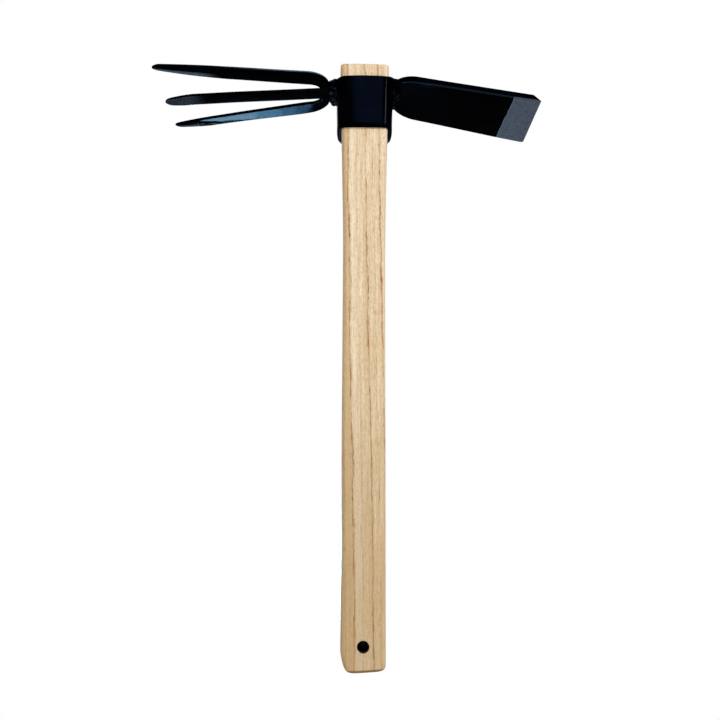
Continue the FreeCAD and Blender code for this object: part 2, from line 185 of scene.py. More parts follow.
def section(shares, width, depth, radius, crown, inset=0.0):
    """x and y round a rounded rectangle: corner share times half size less radius, plus the radius times
    the facing direction, drawn in by the inset and by a crown that grows with the square of the distance
    from each face's middle."""
    corner_x, corner_y, angle = shares
    facing_x, facing_y = np.cos(angle), np.sin(angle)
    x = corner_x * (width / 2 - radius) + radius * facing_x
    y = corner_y * (depth / 2 - radius) + radius * facing_y
    drawn = inset + crown * ((2 * x / width) ** 2 * facing_y ** 2 + (2 * y / depth) ** 2 * facing_x ** 2)
    return x - drawn * facing_x, y - drawn * facing_y


def grid_faces(rows, columns, wrap_rows=False):
    """Four-sided faces between neighbours of a grid of vertices numbered row by row; columns close up."""
    row = np.arange(rows if wrap_rows else rows - 1)[:, None]
    column = np.arange(columns)[None, :]
    above, beside = (row + 1) % rows, (column + 1) % columns
    corners = [row * columns + column, row * columns + beside, above * columns + beside,
               above * columns + column]
    return np.stack(np.broadcast_arrays(*corners), axis=-1).reshape(-1, 4)


def end_caps(points):
    """The first and the last ring of a grid of points, as two faces."""
    rows, columns = points.shape[:2]
    return [range(columns), range((rows - 1) * columns, rows * columns)]


def make_piece(name, points, faces, finish, node, marks=None, crease=None, caps=()):
    """A mesh of the points, in place of its CAD node: doubles merged, faces turned outwards, edges sharper
    than the crease angle kept sharp. marks are named numbers, one to a vertex, for the materials."""
    mesh = bpy.data.meshes.new(name)
    mesh.from_pydata((points.reshape(-1, 3) * MM).tolist(), [], faces.tolist() + [list(c) for c in caps])
    for mark, values in (marks or {}).items():
        numbers = values.ravel().astype(np.float32)
        mesh.attributes.new(mark, "FLOAT", "POINT").data.foreach_set("value", numbers)
    shell = bmesh.new()
    shell.from_mesh(mesh)
    bmesh.ops.remove_doubles(shell, verts=shell.verts, dist=1e-6)
    bmesh.ops.delete(shell, geom=[v for v in shell.verts if not v.link_faces], context="VERTS")
    bmesh.ops.recalc_face_normals(shell, faces=shell.faces)
    shell.to_mesh(mesh)
    shell.free()
    mesh.shade_smooth()
    if crease:
        mesh.set_sharp_from_angle(angle=math.radians(crease))
    mesh.materials.append(finish)
    piece = bpy.data.objects.new(name, mesh)
    bpy.context.scene.collection.objects.link(piece)
    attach(piece, "root")
    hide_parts(node)
    return piece


def handle_mesh(finish):
    """The handle: level rings of its rounded section, drawn in at both ends. Over the butt the left side
    follows a long arc and then the corner's short one, the right side the heel's arc and the faces a small
    one; the butt itself is a slanted plane. A patch round the hang hole runs from four straight sides to
    the hole's edge and on into the bore, which a web closes halfway."""
    flat, arc, patch, edge_step, shaft_rows = 16, 8, 10, 3, 96
    shares = outline_shares(flat, arc)
    count = shares.shape[1]
    half = (SHAFT[0] / 2 - HANDLE_ROUND) * (1 - 2 * edge_step / flat)

    low = np.array([0.0, 0.05, 0.22, 0.5, 0.9, 1.4, 2.0, 2.7, 3.5, 4.6, 5.9, BUTT_REACH])
    above_hole = np.linspace(-BUTT_Z + half, TOP_Z - TOP_ROUND - BUTT_Z, shaft_rows)[1:]
    above = np.concatenate([low, -BUTT_Z + np.linspace(-half, half, patch + 1), above_hole])[:, None]
    tight = np.arcsin(np.clip(math.sin(EASE_TURN) + (CORNER_TOP - above) / CORNER_RADIUS, 0.0, 1.0))
    in_corner = CORNER_DRAWN + CORNER_RADIUS * (math.cos(EASE_TURN) - np.cos(tight))
    in_ease = drawn_by_round(EASE_RADIUS, (EASE_TOP - above) / EASE_RADIUS)
    left = np.where(above < CORNER_TOP, in_corner, in_ease)
    right = drawn_by_round(HEEL_RADIUS, math.cos(BUTT_SLANT) - above / HEEL_RADIUS)
    faces = drawn_by_round(FACE_ROUND, 1 - above / FACE_ROUND)
    width, depth = handle_size(above + BUTT_Z)
    x, y = section(shares, width - left - right, depth - 2 * faces, HANDLE_ROUND, HANDLE_CROWN)
    x = x + (left - right) / 2
    fading = np.clip(1 - above / BUTT_REACH, 0.0, 1.0)
    slant = math.tan(BUTT_SLANT) * (x + BUTT_SLANT_FROM) * fading
    shaft = np.stack([x, y, BUTT_Z + above + slant], axis=-1)

    spread = np.array([0.0, 0.25, 0.5, 0.75, 0.93])[:, None]
    end_x = x[0].mean() + (x[0] - x[0].mean()) * spread
    end_z = BUTT_Z + math.tan(BUTT_SLANT) * (end_x + BUTT_SLANT_FROM)
    butt_end = np.stack([end_x, y[0] * spread, end_z], axis=-1)

    turn = np.radians(np.linspace(0, 90, 7))[1:, None]
    x, y = section(shares, HEAD[0], HEAD[1], HANDLE_ROUND, HANDLE_CROWN, TOP_ROUND * (1 - np.cos(turn)))
    tilt = TOP_SLOPE * (x + HEAD[0] / 2) * np.sin(turn)
    top = np.stack([x, y, TOP_Z - TOP_ROUND * (1 - np.sin(turn)) - tilt], axis=-1)
    end_x = x[-1] * spread[::-1]
    end_z = TOP_Z - TOP_SLOPE * (end_x + HEAD[0] / 2)
    top_end = np.stack([end_x, y[-1] * spread[::-1], end_z], axis=-1)
    points = np.concatenate([butt_end, shaft, top, top_end])

    low_row = len(butt_end) + low.size
    front, rear = 2 * (arc + flat) + arc + edge_step, arc + edge_step
    along = np.arange(patch)
    rows = low_row + np.concatenate([0 * along, along, np.full(patch, patch), patch - along])
    columns = np.concatenate([along, np.full(patch, patch), patch - along, 0 * along])
    front_edge = rows * count + front + columns
    rear_edge = rows * count + rear + patch - columns
    flat_points = points.reshape(-1, 3)
    edge = flat_points[front_edge]
    around = np.arctan2(edge[:, 2], edge[:, 0])
    reach = np.hypot(edge[:, 0], edge[:, 2])
    shrink = np.array([0.2, 0.4, 0.6, 0.8, 1.0])[:, None]
    turn = np.radians(np.linspace(0, 90, 6))[1:, None]
    lip_rings = np.broadcast_to(HOLE_RADIUS + HOLE_LIP * (1 - np.sin(turn)), (turn.size, around.size))
    radius = np.concatenate([reach + (HOLE_RADIUS + HOLE_LIP - reach) * shrink, lip_rings])
    sunk = np.concatenate([np.zeros(shrink.shape), HOLE_LIP * (1 - np.cos(turn))])
    ring_x, ring_z = radius * np.cos(around), radius * np.sin(around)
    surface = SHAFT[1] / 2 - HANDLE_CROWN * (2 * ring_x / SHAFT[0]) ** 2
    # The bore's last ring closes at the centre into a web, a sheet that carries the hang hole's painted
    # shade.
    depths = np.array(BORE_DEPTHS)[:, None]
    centre = np.zeros((1, around.size))
    half_x = np.concatenate([ring_x, ring_x[-1] + 0 * depths, centre])
    half_y = np.concatenate([surface - sunk, depths + centre, depths[-1:] + centre])
    half_z = np.concatenate([ring_z, ring_z[-1] + 0 * depths, centre])

    in_patch = np.zeros((len(points) - 1, count), bool)
    in_patch[low_row:low_row + patch, front:front + patch] = True
    in_patch[low_row:low_row + patch, rear:rear + patch] = True
    all_points = [flat_points]
    all_faces = [grid_faces(len(points), count)[~in_patch.ravel()]]
    total = len(flat_points)
    for edge_numbers, way in ((front_edge, -1), (rear_edge, 1)):
        bored = np.stack([half_x, way * half_y, half_z], axis=-1)
        inner_numbers = total + np.arange(half_x.size).reshape(half_x.shape)
        numbers = np.concatenate([edge_numbers[None], inner_numbers])
        all_faces.append(numbers.ravel()[grid_faces(len(numbers), around.size)])
        all_points.append(bored.reshape(-1, 3))
        total += half_x.size
    return make_piece("handle_ash", np.concatenate(all_points), np.concatenate(all_faces), finish,
                      "handle")


def collar_mesh(finish):
    """The eye: rings of the handle's flared section, each an offset outside it. The offsets run up the
    outside, round the rim, down the bore and round the foot's chamfer, and close on themselves."""
    shares = outline_shares(14, 14)
    outer = EYE_FIT + EYE_WALL
    foot_line = outer - EYE_FOOT
    bend = np.radians(np.linspace(0, 90, 7))
    rim_top = EYE_TOP - EYE_RIM
    offsets = [np.full(22, outer), outer - EYE_RIM * (1 - np.cos(bend[1:])),
               EYE_FIT + EYE_SOFT * (1 - np.sin(bend)), np.full(18, EYE_FIT),
               EYE_FIT + EYE_SOFT * (1 - np.cos(bend[1:])),
               np.array([foot_line - 0.25, foot_line]), np.linspace(foot_line, outer, 6)[1:-1],
               np.array([outer - 0.05])]
    heights = [np.linspace(EYE_BOTTOM + EYE_FOOT + 0.3, rim_top, 22), rim_top + EYE_RIM * np.sin(bend[1:]),
               EYE_TOP - EYE_SOFT * (1 - np.cos(bend)),
               np.linspace(EYE_TOP - EYE_SOFT, EYE_BOTTOM + EYE_SOFT, 20)[1:-1],
               EYE_BOTTOM + EYE_SOFT * (1 - np.sin(bend[1:])),
               np.array([EYE_BOTTOM, EYE_BOTTOM + 0.05]),
               np.linspace(EYE_BOTTOM, EYE_BOTTOM + EYE_FOOT, 6)[1:-1], np.array([EYE_BOTTOM + EYE_FOOT])]
    offset = np.concatenate(offsets)[:, None]
    z = np.concatenate(heights)[:, None]
    width, depth = handle_size(z)
    crown = HANDLE_CROWN + EYE_CROWN * smooth(EYE_FIT + 0.5, outer, offset)
    x, y = section(shares, width + 2 * offset, depth + 2 * offset, HANDLE_ROUND + offset, crown)
    points = np.stack([x, y, np.broadcast_to(z, x.shape)], axis=-1)
    faces = grid_faces(points.shape[0], points.shape[1], wrap_rows=True)
    return make_piece("eye_enamel", points, faces, finish, "eye_collar", crease=50)


def on_eye(out, across, up, root_z, droop, way):
    """Places points given along, across and above a piece that is fixed to the eye's side: turned down by
    its droop about the root; way is 1 for the blade and -1 for the fork."""
    side = handle_size(np.array(root_z))[0] / 2 + EYE_FIT + EYE_WALL
    down = math.radians(droop)
    x = way * (side + out * math.cos(down) + up * math.sin(down))
    z = root_z - out * math.sin(down) + up * math.cos(down)
    return np.stack(np.broadcast_arrays(x, across, z), axis=-1)


def blade_mesh(finish):
    """The hoe blade: a flat rounded section carried along it, rounder at its near lower edge away from the
    root. The half width is a straight taper less the root's quarter circle, which is 2.2 mm larger on the
    far side, and less the worn corner at the tip. The underside rises and the top falls in straight bevels
    to the edge, and the underside's bevel starts on a slanting, slightly wandering line. The mark ground is
    how far a point lies inside a bevel, and the mark edge is 1 at the near lower edge."""
    corner, lift, angle = outline_shares(30, 8, margin=0.012)
    root = BLADE_SHOULDER * (1 - np.cos(np.radians(np.linspace(0, 90, 24))))
    out = np.concatenate([root, np.linspace(BLADE_SHOULDER, 77, 26)[1:],
                          np.linspace(77, BLADE_LENGTH, 60)[1:]])[:, None]
    line = BLADE_ROOT_HALF + BLADE_GROWTH * out / BLADE_LENGTH
    far = np.clip(corner, 0.0, 1.0)
    bend = BLADE_SHOULDER + 2.2 * far
    shoulder = bend - np.sqrt(bend ** 2 - np.maximum(bend - out, 0.0) ** 2)
    worn = np.clip(out - WORN_FROM, 0.0, 2.5)
    worn_corner = (WORN_RADIUS - np.sqrt(WORN_RADIUS ** 2 - worn ** 2)) * (0.25 + 0.75 * far)
    half = line - shoulder - worn_corner

    guess = half * corner
    start = BEVEL_START - BEVEL_SLANT * guess + 0.3 * value_noise(guess * 0.16 + 9, out * 0.0, 3)
    start = start + 0.16 * value_noise(guess * 0.6, out * 0.0 + 5, 4)
    ground = np.clip((out - start) / (BLADE_LENGTH - start), 0.0, 1.0)
    falling = np.clip((out - TOP_BEVEL_START) / TOP_BEVEL_LENGTH, 0.0, 1.0)
    wave = 0.05 * value_noise(guess * 0.05 + 3, out * 0.045 + 2, 11)
    under = -BLADE_FACE + BEVEL_RISE * ground + wave
    over = BLADE_FACE - TOP_BEVEL_DROP * falling + wave
    thick = over - under
    near_low = (1 - corner) * (1 - lift) / 4
    rounded = 0.12 + (0.28 + 0.75 * near_low) * smooth(12.0, 30.0, out)
    radius = np.minimum(rounded, 0.42 * thick)
    across = corner * (half - radius) + radius * np.cos(angle)
    up = (over + under) / 2 + lift * (thick / 2 - radius) + radius * np.sin(angle)
    points = on_eye(out, across, up, BLADE_ROOT_Z, BLADE_DROOP, 1)

    underside = between(np.pi + 0.5, 2 * np.pi - 0.5, angle)
    topside = between(0.5, np.pi - 0.5, angle)
    bevel = np.clip(out - start, -3.0, 3.0) * underside + np.clip(out - TOP_BEVEL_START, -3.0, 3.0) * topside
    bevel = bevel - 3.0 * (1 - underside) * (1 - topside)
    # The edge mark places the enamel's painted highlight along the near lower edge.
    edge_highlight = near_low * between(np.pi + 0.25, 1.5 * np.pi - 0.1, angle) * smooth(8.0, 24.0, out)
    return make_piece("hoe_blade_steel", points, grid_faces(*points.shape[:2]), finish, "hoe_blade",
                      marks={"ground": bevel, "edge": edge_highlight}, crease=40,
                      caps=end_caps(points))


def bar_mesh(name, node, outer, inner, thickness, level, roll, ridge, soft, facet, worn_from, fold, finish):
    """A tine: a flat rounded section carried between two lines in its plan. Half the distance between the
    lines is its half width; its level shifts it up or down, the roll lifts it in proportion to the distance
    from its middle line, and the ridge thins its faces towards both edges. The softness rounds its upper
    edge on the outer side and paints a highlight there, strongest near the root, in the same mark as the
    worn flats. Beyond the fold, a share of the half width, the underside slopes down by 0.06. The facet
    marks the worn flat on the underside, inwards from the share worn_from, or outwards where it is below
    zero."""
    corner, lift, angle = outline_shares(10, 7, margin=0.02)
    middle = (outer + inner) / 2
    across = outer - inner
    wide = np.hypot(across[:, 0], across[:, 1])[:, None]
    direction = across / np.maximum(wide, 1e-6)
    half = wide / 2
    rounder = soft * (1 + corner) * (1 + lift) / 4
    radius = np.minimum(np.minimum(0.7 + rounder, 0.45 * thickness), 0.8 * half)
    reach = corner * (half - radius) + radius * np.cos(angle)
    reach_share = reach / np.maximum(half, 1e-6)
    thinned = thickness / 2 * (1 - ridge * reach_share ** 2)
    up = lift * (thinned - radius) + radius * np.sin(angle) + level + roll * reach
    up = up - 0.06 * half * np.maximum(reach_share - fold, 0.0) * (1 - lift) / 2
    out = middle[:, :1] + direction[:, :1] * reach
    side = middle[:, 1:] + direction[:, 1:] * reach
    bow = 0.12 * value_noise(out * 0.03, out * 0.0 + 7, 21)
    points = on_eye(out, side, up + bow, FORK_ROOT_Z, FORK_DROOP, -1)

    underside = between(np.pi + 0.2, 2 * np.pi - 0.2, angle)
    worn_half = smooth(-0.02, 0.25, -np.sign(facet) * reach_share - worn_from)
    # Painted highlight: on a soft tine the upper outer edge, strongest near the root, gets the same mark as
    # the worn flats, so the enamel shows it in the pale bare-metal colour.
    top_outer = (corner > 0) & (lift > 0.1) & ((angle < 1.35) | (angle > 6.2))
    painted_top_highlight = smooth(85.0, 25.0, out) * soft
    worn = np.abs(facet) * underside * worn_half + 1.3 * painted_top_highlight * np.where(top_outer, 1.0, 0.0)
    return make_piece(name, points, grid_faces(*points.shape[:2]), finish, node,
                      marks={"facet": worn}, crease=50, caps=end_caps(points))


def tip_rows(end, bulge, centre, half_width):
    """The rounded end of a tine: half width times the cosine and bulge times the sine of a quarter turn."""
    turn = np.radians(np.linspace(0, 84, 8))[1:]
    out = end + bulge * np.sin(turn)
    return (np.column_stack([out, centre + half_width * np.cos(turn)]),
            np.column_stack([out, centre - half_width * np.cos(turn)]))


def arc_points(centre, radius, last):
    """Twenty points of an arc in plan, from straight back to the last angle, in degrees."""
    turn = np.radians(np.linspace(180, last, 20))
    return np.column_stack([centre[0] + radius * np.cos(turn), centre[1] + radius * np.sin(turn)])


def outer_tine_mesh(name, node, side, point_length, lean, tip_half, breadth, thick, level, roll, fuller,
                    soft, wear, finish):
    """An outer tine's two lines: from the middle tine's side straight out, round the root's bends of 18 mm
    and 10 mm, straight along the splay, and a spear point that ends a little to one side. Thickness and
    level are given at the root, the shoulder and the tip, with straight lines between, and the tip thins by
    another 0.6."""
    shoulder = FORK_LENGTH - point_length
    half = breadth / math.cos(FORK_SPLAY)
    at_shoulder = FORK_SPREAD - math.tan(FORK_SPLAY) * point_length
    legs = np.linspace(0, 1, 5)[:-1, None]
    leg_outer = (4.6, 4.6) + legs * (0.0, 4.865)
    leg_inner = (10.4, 4.6) + legs * (0.0, 0.37)
    bend_outer = arc_points((22.6, 9.465), 18.0, 100.9)
    bend_inner = arc_points((20.4, 4.97), 10.0, 102.4)
    run = np.linspace(0, 1, 40)[1:, None]
    line_outer = bend_outer[-1] + run * ((shoulder, at_shoulder + half) - bend_outer[-1])
    line_inner = bend_inner[-1] + run * ((shoulder, at_shoulder - half) - bend_inner[-1])
    to_end = np.linspace(0, 1, 26)[1:, None]
    belly = 0.012 * point_length * np.sin(np.pi * to_end)
    tip_line = FORK_SPREAD + lean
    point_outer = line_outer[-1] + to_end * ((POINT_END, tip_line + tip_half) - line_outer[-1])
    point_outer = point_outer + belly * (0, 0.28 if side > 0 else 1.0)
    point_inner = line_inner[-1] + to_end * ((POINT_END, tip_line - tip_half) - line_inner[-1])
    point_inner = point_inner - belly * (0, 1)
    tip_outer, tip_inner = tip_rows(POINT_END, POINT_BULGE, tip_line, tip_half)
    outer = np.concatenate([leg_outer, bend_outer, line_outer, point_outer, tip_outer])
    inner = np.concatenate([leg_inner, bend_inner, line_inner, point_inner, tip_inner])

    along = (outer[:, :1] + inner[:, :1]) / 2
    stations = (20.0, shoulder, FORK_LENGTH)
    thinning = np.clip((along - shoulder) / point_length, 0.0, 1.0)
    thickness = np.interp(along, stations, thick) * (1 - 0.6 * smooth(POINT_END - 1.0, TIP_THIN, along))
    level = np.interp(along, stations, level)
    roll = roll * np.where(side > 0, smooth(11.0, 26.0, along), 1.0)
    ridge = 0.02 + 0.02 * thinning
    facet = wear * smooth(0.08, 0.4, thinning)
    fold = np.interp(along, (50.0, 60.0, 72.0, 83.0, 95.0, 101.5), (1.0, 0.72, 0.45, 0.25, -0.4, -0.9))
    fold = fold if wear < 0 else 1.0
    widened = fuller * smooth(shoulder, 20.0, along) * smooth(8.0, 16.0, along) * (0, 1)
    outer, inner = (outer + widened) * (1, side), (inner - widened) * (1, side)
    return bar_mesh(name, node, outer, inner, thickness, level, roll, ridge, soft, facet, 0.0, fold, finish)


def middle_tine_mesh(finish):
    """The middle tine's two lines: straight and parallel, then a short spear point leaning to the rear,
    whose tip thins by another half."""
    run = np.linspace(-0.3, MIDDLE_SHOULDER, 60)
    to_end = np.linspace(0, 1, 20)[1:]
    belly = 0.45 * np.sin(np.pi * to_end)
    point_out = MIDDLE_SHOULDER + to_end * (MIDDLE_END - MIDDLE_SHOULDER)
    tips = tip_rows(MIDDLE_END, MIDDLE_BULGE, MIDDLE_LEAN, MIDDLE_TIP_HALF)
    lines = []
    for edge, way, tip in ((5.1, 1, tips[0]), (-4.8, -1, tips[1])):
        point_edge = edge + to_end * (MIDDLE_LEAN + way * MIDDLE_TIP_HALF - edge) + way * belly
        lines.append(np.concatenate([np.column_stack([run, np.full(run.size, edge)]),
                                     np.column_stack([point_out, point_edge]), tip]))
    rear_line, front_line = lines
    along = rear_line[:, :1]
    thinning = np.clip((along - MIDDLE_SHOULDER) / 20.0, 0.0, 1.0)
    thickness = (2.8 - 0.3 * thinning) * (1 - 0.5 * smooth(MIDDLE_END - 1.0, TIP_THIN, along))
    level = -0.25 - 0.6 * along / FORK_LENGTH
    ridge = 0.02 + 0.02 * thinning
    facet = 0.42 * smooth(90.0, 104.0, along)
    return bar_mesh("tine_middle_steel", "tine_middle", front_line, rear_line, thickness, level, 0.1, ridge,
                    0.0, facet, -1.2, 1.0, finish)


def weld_mesh(name, node, root_z, droop, way, level, plate, reach_out, reach_up, half_length, spread, seed,
              finish):
    """A hand-laid bead: an ellipse round the corner between the eye's wall and the plate's face, carried
    along the wall, bent round the eye's rounded corners. Its radius is one plus overlapping crescent
    ripples plus two sizes of lumps, times a rounded end profile."""
    along = np.linspace(-1, 1, 130)[:, None]
    turn = np.radians(np.linspace(-14, 112, 46))[None, :]
    across = along * half_length
    closing = np.maximum(1 - np.abs(along) ** 12, 0.0) ** 0.5
    wander = 0.25 * value_noise(across * 0.4, turn, seed)
    ripple = np.mod(across / BEAD_PITCH + 0.3 * np.cos(turn * 2) + wander, 1.0)
    crescent = ripple ** 0.6 * (1 - smooth(0.84, 1.0, ripple))
    lumps = value_noise(across * 0.5 + 30, turn * 2.4 + 4, seed + 1)
    fine = value_noise(across * 1.4 + 30, turn * 6.0 + 4, seed + 2)
    oval = 1 / np.sqrt((np.cos(turn) / reach_out) ** 2 + (np.sin(turn) / reach_up) ** 2)
    swell = oval * (0.84 + 0.12 * crescent + 0.12 * lumps + 0.06 * fine) * (0.6 + 0.4 * closing)
    past = np.clip(np.abs(across) - BEAD_STRAIGHT, 0.0, 6.0)
    recess = BEAD_CORNER - np.sqrt(BEAD_CORNER ** 2 - past ** 2) + 0.005 * across ** 2
    out = swell * np.cos(turn) - recess * smooth(reach_out, 0.0, swell * np.cos(turn))
    up = level * (plate / 2 + swell * np.sin(turn))
    across = across * (1 + spread * smooth(0.0, reach_out, out))
    points = on_eye(out, across, up, root_z, droop, way)
    return make_piece(name, points, grid_faces(*points.shape[:2]), finish, node, crease=70,
                      caps=end_caps(points))


def linear(red, green, blue):
    """A screen colour from 0 to 255 as the shader's linear one."""
    levels = np.array([red, green, blue]) / 255
    low = levels / 12.92
    high = ((levels + 0.055) / 1.055) ** 2.4
    return tuple(float(v) for v in np.where(levels <= 0.04045, low, high)) + (1.0,)


class Value:
    """A socket that gives a number; arithmetic on it adds Math nodes."""

    def __init__(self, finish, socket):
        self.finish = finish
        self.socket = socket

    def math(self, operation, *values):
        return self.finish.node("ShaderNodeMath", {"operation": operation}, dict(enumerate(values)))

    def __add__(self, other):
        return self.math("ADD", self, other)

    __radd__ = __add__

    def __sub__(self, other):
        return self.math("SUBTRACT", self, other)

    def __mul__(self, other):
        return self.math("MULTIPLY", self, other)

    def __pow__(self, other):
        return self.math("POWER", self, other)

    def __abs__(self):
        return self.math("ABSOLUTE", self)


class Finish:
    """A material in the making: one shader, the nodes that feed it, and its coordinates in millimetres."""

    def __init__(self, name, **constants):
        self.material = bpy.data.materials.new(name)
        self.material.use_nodes = True
        self.tree = self.material.node_tree
        self.shader = self.tree.nodes["Principled BSDF"]
        for socket, value in constants.items():
            self.shader.inputs[socket.replace("_", " ")].default_value = value
        coordinates = self.node("ShaderNodeTexCoord", output="Object")
        self.point = self.node("ShaderNodeVectorMath", {"operation": "SCALE"},
                               {0: coordinates, "Scale": 1000.0})
        parts = self.tree.nodes.new("ShaderNodeSeparateXYZ")
        self.tree.links.new(self.point.socket, parts.inputs[0])
        self.x, self.y, self.z = (Value(self, parts.outputs[axis]) for axis in range(3))

    def node(self, kind, settings=None, inputs=None, output=0):
        """Adds a node: its settings first, then the values or links of its sockets; gives one output."""
        made = self.tree.nodes.new(kind)
        for name, value in (settings or {}).items():
            setattr(made, name, value)
        for name, value in (inputs or {}).items():
            self.join(value, made.inputs[name])
        return Value(self, made.outputs[output])

    def join(self, value, socket):
        if isinstance(value, Value):
            self.tree.links.new(value.socket, socket)
        else:
            socket.default_value = value

    def feed(self, name, value):
        self.join(value, self.shader.inputs[name])

    def mark(self, name):
        """The number that the mesh gives each vertex under this name."""
        return self.node("ShaderNodeAttribute", {"attribute_name": name}, None, "Fac")

    def stretched(self, x, y, z):
        """The millimetre point times one scale to each axis."""
        return self.node("ShaderNodeVectorMath", {"operation": "MULTIPLY"}, {0: self.point, 1: (x, y, z)})

    def noise(self, where, detail=2.0, rough=0.5, distortion=0.0):
        return self.node("ShaderNodeTexNoise", {"noise_dimensions": "3D"},
                         {"Vector": where, "Scale": 1.0, "Detail": detail, "Roughness": rough,
                          "Distortion": distortion}, "Fac")

    def step(self, low, high, value):
        """0 below low and 1 above high, with a smooth rise between; falls where high is below low."""
        first, last = (0.0, 1.0) if low < high else (1.0, 0.0)
        return self.node("ShaderNodeMapRange", {"interpolation_type": "SMOOTHSTEP"},
                         {"Value": value, "From Min": min(low, high), "From Max": max(low, high),
                          "To Min": first, "To Max": last})

    def mix(self, share, first, second):
        """Blends two colours."""
        return self.node("ShaderNodeMix", {"data_type": "RGBA"}, {0: share, 6: first, 7: second}, 2)

    def shade(self, colour, amount):
        """A colour times a number."""
        return self.node("ShaderNodeVectorMath", {"operation": "SCALE"}, {0: colour, "Scale": amount})

    def bump(self, height, strength, distance):
        return self.node("ShaderNodeBump", None,
                         {"Strength": strength, "Distance": distance * MM, "Height": height})


def ash_wood():
    """Straight-grained ash: a ring's distance from the heart of the tree is taken in plan, leaning a little
    along the handle, so the same rings show as lines on the faces and as arcs on the ends. Each ring line
    is broken and holds short pore dashes. The wood is darker towards the butt, partly browner wood and
    partly painted shade of the light from above; the butt's lower rounding and end carry painted shade over
    darker end grain, and the top end is darker end grain. The right-hand side carries a painted sheen, and
    the hang hole painted shade with a painted brown highlight."""
    ash = Finish("ash_wood", IOR=1.45, Specular_IOR_Level=0.12)
    sway = ash.noise(ash.stretched(0.02, 0.02, 0.012), 2.0)
    wobble = ash.noise(ash.stretched(0.3, 0.3, 0.055), 2.0)
    jitter = ash.noise(ash.stretched(0.7, 0.7, 0.22), 2.0, 0.6)
    x = ash.x + (ash.z - 330.0) * 0.0188 + 71.3
    y = ash.y + 30.0
    heart = (x * x + y * y) ** 0.5 + (sway - 0.5) * 2.2 + (wobble - 0.5) * 2.2 + (jitter - 0.5) * 1.4
    fibre = ash.noise(ash.stretched(1.5, 1.5, 0.028), 4.0, 0.6)
    fine = ash.noise(ash.stretched(1.9, 1.9, 0.32), 3.0, 0.65, 0.4)
    cloud = ash.noise(ash.stretched(0.1, 0.1, 0.018), 3.0)
    dashes = ash.noise(ash.stretched(1.5, 1.5, 0.3), 3.0, 0.6)
    fleck = ash.noise(ash.stretched(1.5, 1.5, 0.8), 2.0, 0.6)
    streak = ash.noise(ash.stretched(0.75, 0.75, 0.009), 2.0, 0.6)
    colour = ash.mix(ash.step(0.36, 0.64, fibre), linear(219, 193, 151), linear(243, 222, 187))
    colour = ash.mix(ash.step(0.42, 0.62, fine) * 0.55, colour, linear(208, 179, 135))
    colour = ash.mix(ash.step(0.45, 0.66, cloud) * 0.35, colour, linear(214, 184, 138))
    colour = ash.mix(ash.step(0.50, 0.68, streak) * 0.35, colour, linear(200, 176, 136))
    colour = ash.mix(ash.step(65.0, 60.2, heart) * 0.62, colour, linear(202, 168, 120))
    cream = ash.step(62.4, 64.4, heart) * ash.step(69.0, 64.5, heart)
    colour = ash.mix(cream * 0.35, colour, linear(246, 230, 202))
    rings = ((57.6, 0.7, 0.35), (62.5, 0.8, 0.9), (67.9, 0.5, 0.22), (73.9, 0.75, 0.85), (78.6, 0.5, 0.3),
             (82.9, 0.8, 0.95), (86.4, 0.6, 0.4), (91.5, 0.8, 0.6), (97.0, 0.8, 0.5))
    lines = None
    for place, width, strength in rings:
        line = ash.step(width, 0.12, abs(heart - place)) * strength
        lines = line if lines is None else lines.math("MAXIMUM", lines, line)
        fade = ash.step(place - 4.5, place, heart) * ash.step(place + 0.5, place, heart)
        colour = ash.mix(fade * 0.3 * strength, colour, linear(196, 158, 108))
    broken = ash.step(0.38, 0.60, ash.noise(ash.stretched(0.5, 0.5, 0.05), 3.0, 0.6))
    marked = lines * (0.25 + broken * 0.75 + ash.step(130.0, 10.0, ash.z) * 0.35)
    colour = ash.mix(marked, colour, linear(168, 118, 52))
    pores = ash.step(0.53, 0.64, dashes) * (0.22 + marked * 0.78)
    colour = ash.mix(pores, colour, linear(114, 74, 30))
    colour = ash.shade(colour, 0.80 + fleck * 0.42)
    # Painted sheen: beyond x 12.3 mm the handle's right-hand side is lightened towards a pale grey-pink.
    colour = ash.mix(ash.step(12.3, 13.9, ash.x) * 0.35, colour, linear(222, 203, 180))
    # Darker towards the butt, from 230 mm down: partly browner wood, partly painted shade of the light from
    # above.
    worn = ash.step(230.0, -10.0, ash.z)
    colour = ash.mix(worn * 0.5, colour, linear(178, 144, 98))
    # Painted shade on the butt's lower rounding and end, over darker end grain.
    butt = ash.step(-13.4, -14.5, ash.z - (ash.x + BUTT_SLANT_FROM) * 0.063)
    colour = ash.mix(butt * 0.85, colour, linear(120, 92, 60))
    top = ash.step(383.3, 383.9, ash.z + (ash.x + 16.9) * TOP_SLOPE)
    colour = ash.mix(top * 0.4, colour, linear(198, 160, 112))
    # Painted shade in the hang hole: the bore and the web that closes it are painted near-black, with a
    # painted brown highlight just above the web's middle.
    into_hole = ash.step(4.1, 3.65, (ash.x * ash.x + ash.z * ash.z) ** 0.5)
    within = ash.step(12.2, 11.2, abs(ash.y))
    low = (ash.x * ash.x + (ash.z - 0.9) * (ash.z - 0.9)) ** 0.5
    dark = ash.mix(ash.step(1.9, 0.4, low), linear(8, 5, 4), linear(84, 46, 30))
    colour = ash.mix(into_hole * within, colour, dark)
    ash.feed("Base Color", colour)
    ash.feed("Roughness", 0.50 + fine * 0.18)
    height = fibre * 0.5 + fine * 0.35 - pores * 0.9
    ash.feed("Normal", ash.bump(height, 0.35, 0.12))
    return ash.material


